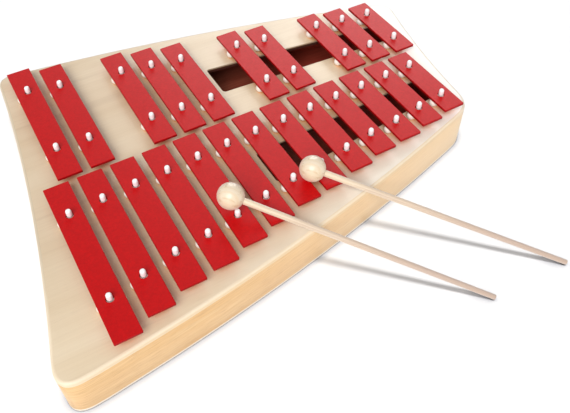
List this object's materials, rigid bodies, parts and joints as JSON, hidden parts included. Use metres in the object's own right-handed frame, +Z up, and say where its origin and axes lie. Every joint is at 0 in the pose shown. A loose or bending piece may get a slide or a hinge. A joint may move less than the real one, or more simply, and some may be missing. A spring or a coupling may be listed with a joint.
{
  "type": "xylophone",
  "caption": "Chromatic toy xylophone: two rows of flat metal bars on pegs over a hollow flared wooden sound box, with two ball-headed mallets.",
  "frame": {"origin": "on the table, under the middle of the sound box, on the line midway between the two rows of bars", "axes": "+X along the rows toward the short bars, +Y from the natural row to the accidental row, +Z up"},
  "size_m": [0.4102, 0.3884, 0.072],
  "materials": {
    "board": "clear satin lacquer on pale plywood",
    "rail": "clear satin lacquer, grain along the rail",
    "red_bar": "gloss lacquer",
    "white_peg": "smooth",
    "white_rest": "matte",
    "mallet_wood": "gloss lacquer on pale wood"
  },
  "bodies": {
    "sound_box": {"bottom_board": "board", "front_rail": "rail", "right_rail": "rail", "back_rail": "rail", "left_rail": "rail", "top_board": "board", "natural_rests": "white_rest", "accidental_rests": "white_rest", "natural_pegs": "white_peg", "accidental_pegs": "white_peg"},
    "natural_bar_1": {"natural_bar_1": "red_bar"},
    "natural_bar_2": {"natural_bar_2": "red_bar"},
    "natural_bar_3": {"natural_bar_3": "red_bar"},
    "natural_bar_4": {"natural_bar_4": "red_bar"},
    "natural_bar_5": {"natural_bar_5": "red_bar"},
    "natural_bar_6": {"natural_bar_6": "red_bar"},
    "natural_bar_7": {"natural_bar_7": "red_bar"},
    "natural_bar_8": {"natural_bar_8": "red_bar"},
    "natural_bar_9": {"natural_bar_9": "red_bar"},
    "natural_bar_10": {"natural_bar_10": "red_bar"},
    "natural_bar_11": {"natural_bar_11": "red_bar"},
    "natural_bar_12": {"natural_bar_12": "red_bar"},
    "natural_bar_13": {"natural_bar_13": "red_bar"},
    "accidental_bar_1": {"accidental_bar_1": "red_bar"},
    "accidental_bar_2": {"accidental_bar_2": "red_bar"},
    "accidental_bar_3": {"accidental_bar_3": "red_bar"},
    "accidental_bar_4": {"accidental_bar_4": "red_bar"},
    "accidental_bar_5": {"accidental_bar_5": "red_bar"},
    "accidental_bar_6": {"accidental_bar_6": "red_bar"},
    "accidental_bar_7": {"accidental_bar_7": "red_bar"},
    "accidental_bar_8": {"accidental_bar_8": "red_bar"},
    "accidental_bar_9": {"accidental_bar_9": "red_bar"},
    "accidental_bar_10": {"accidental_bar_10": "red_bar"},
    "mallet_1": {"mallet_1_head": "mallet_wood", "mallet_1_stick": "mallet_wood"},
    "mallet_2": {"mallet_2_head": "mallet_wood", "mallet_2_stick": "mallet_wood"}
  },
  "joints": [
    {"name": "natural_bar_1_lift", "type": "slide", "parent": "sound_box", "child": "natural_bar_1", "axis": [0, 0, 1], "range_m": [0, 0.012]},
    {"name": "natural_bar_2_lift", "type": "slide", "parent": "sound_box", "child": "natural_bar_2", "axis": [0, 0, 1], "range_m": [0, 0.012]},
    {"name": "natural_bar_3_lift", "type": "slide", "parent": "sound_box", "child": "natural_bar_3", "axis": [0, 0, 1], "range_m": [0, 0.012]},
    {"name": "natural_bar_4_lift", "type": "slide", "parent": "sound_box", "child": "natural_bar_4", "axis": [0, 0, 1], "range_m": [0, 0.012]},
    {"name": "natural_bar_5_lift", "type": "slide", "parent": "sound_box", "child": "natural_bar_5", "axis": [0, 0, 1], "range_m": [0, 0.012]},
    {"name": "natural_bar_6_lift", "type": "slide", "parent": "sound_box", "child": "natural_bar_6", "axis": [0, 0, 1], "range_m": [0, 0.012]},
    {"name": "natural_bar_7_lift", "type": "slide", "parent": "sound_box", "child": "natural_bar_7", "axis": [0, 0, 1], "range_m": [0, 0.012]},
    {"name": "natural_bar_8_lift", "type": "slide", "parent": "sound_box", "child": "natural_bar_8", "axis": [0, 0, 1], "range_m": [0, 0.012]},
    {"name": "natural_bar_9_lift", "type": "slide", "parent": "sound_box", "child": "natural_bar_9", "axis": [0, 0, 1], "range_m": [0, 0.012]},
    {"name": "natural_bar_10_lift", "type": "slide", "parent": "sound_box", "child": "natural_bar_10", "axis": [0, 0, 1], "range_m": [0, 0.012]},
    {"name": "natural_bar_11_lift", "type": "slide", "parent": "sound_box", "child": "natural_bar_11", "axis": [0, 0, 1], "range_m": [0, 0.012]},
    {"name": "natural_bar_12_lift", "type": "slide", "parent": "sound_box", "child": "natural_bar_12", "axis": [0, 0, 1], "range_m": [0, 0.012]},
    {"name": "natural_bar_13_lift", "type": "slide", "parent": "sound_box", "child": "natural_bar_13", "axis": [0, 0, 1], "range_m": [0, 0.012]},
    {"name": "accidental_bar_1_lift", "type": "slide", "parent": "sound_box", "child": "accidental_bar_1", "axis": [0, 0, 1], "range_m": [0, 0.012]},
    {"name": "accidental_bar_2_lift", "type": "slide", "parent": "sound_box", "child": "accidental_bar_2", "axis": [0, 0, 1], "range_m": [0, 0.012]},
    {"name": "accidental_bar_3_lift", "type": "slide", "parent": "sound_box", "child": "accidental_bar_3", "axis": [0, 0, 1], "range_m": [0, 0.012]},
    {"name": "accidental_bar_4_lift", "type": "slide", "parent": "sound_box", "child": "accidental_bar_4", "axis": [0, 0, 1], "range_m": [0, 0.012]},
    {"name": "accidental_bar_5_lift", "type": "slide", "parent": "sound_box", "child": "accidental_bar_5", "axis": [0, 0, 1], "range_m": [0, 0.012]},
    {"name": "accidental_bar_6_lift", "type": "slide", "parent": "sound_box", "child": "accidental_bar_6", "axis": [0, 0, 1], "range_m": [0, 0.012]},
    {"name": "accidental_bar_7_lift", "type": "slide", "parent": "sound_box", "child": "accidental_bar_7", "axis": [0, 0, 1], "range_m": [0, 0.012]},
    {"name": "accidental_bar_8_lift", "type": "slide", "parent": "sound_box", "child": "accidental_bar_8", "axis": [0, 0, 1], "range_m": [0, 0.012]},
    {"name": "accidental_bar_9_lift", "type": "slide", "parent": "sound_box", "child": "accidental_bar_9", "axis": [0, 0, 1], "range_m": [0, 0.012]},
    {"name": "accidental_bar_10_lift", "type": "slide", "parent": "sound_box", "child": "accidental_bar_10", "axis": [0, 0, 1], "range_m": [0, 0.012]},
    {"name": "mallet_1_lift", "type": "slide", "parent": "sound_box", "child": "mallet_1", "axis": [0, 0, 1], "range_m": [0, 0.06]},
    {"name": "mallet_2_lift", "type": "slide", "parent": "sound_box", "child": "mallet_2", "axis": [0, 0, 1], "range_m": [0, 0.06]}
  ],
  "couplings": [
    {"joint": "natural_bar_5_lift", "follows": "mallet_1_lift", "ratio": 0.2},
    {"joint": "natural_bar_6_lift", "follows": "mallet_1_lift", "ratio": 0.2},
    {"joint": "natural_bar_7_lift", "follows": "mallet_2_lift", "ratio": 0.2},
    {"joint": "natural_bar_8_lift", "follows": "mallet_2_lift", "ratio": 0.2}
  ]
}
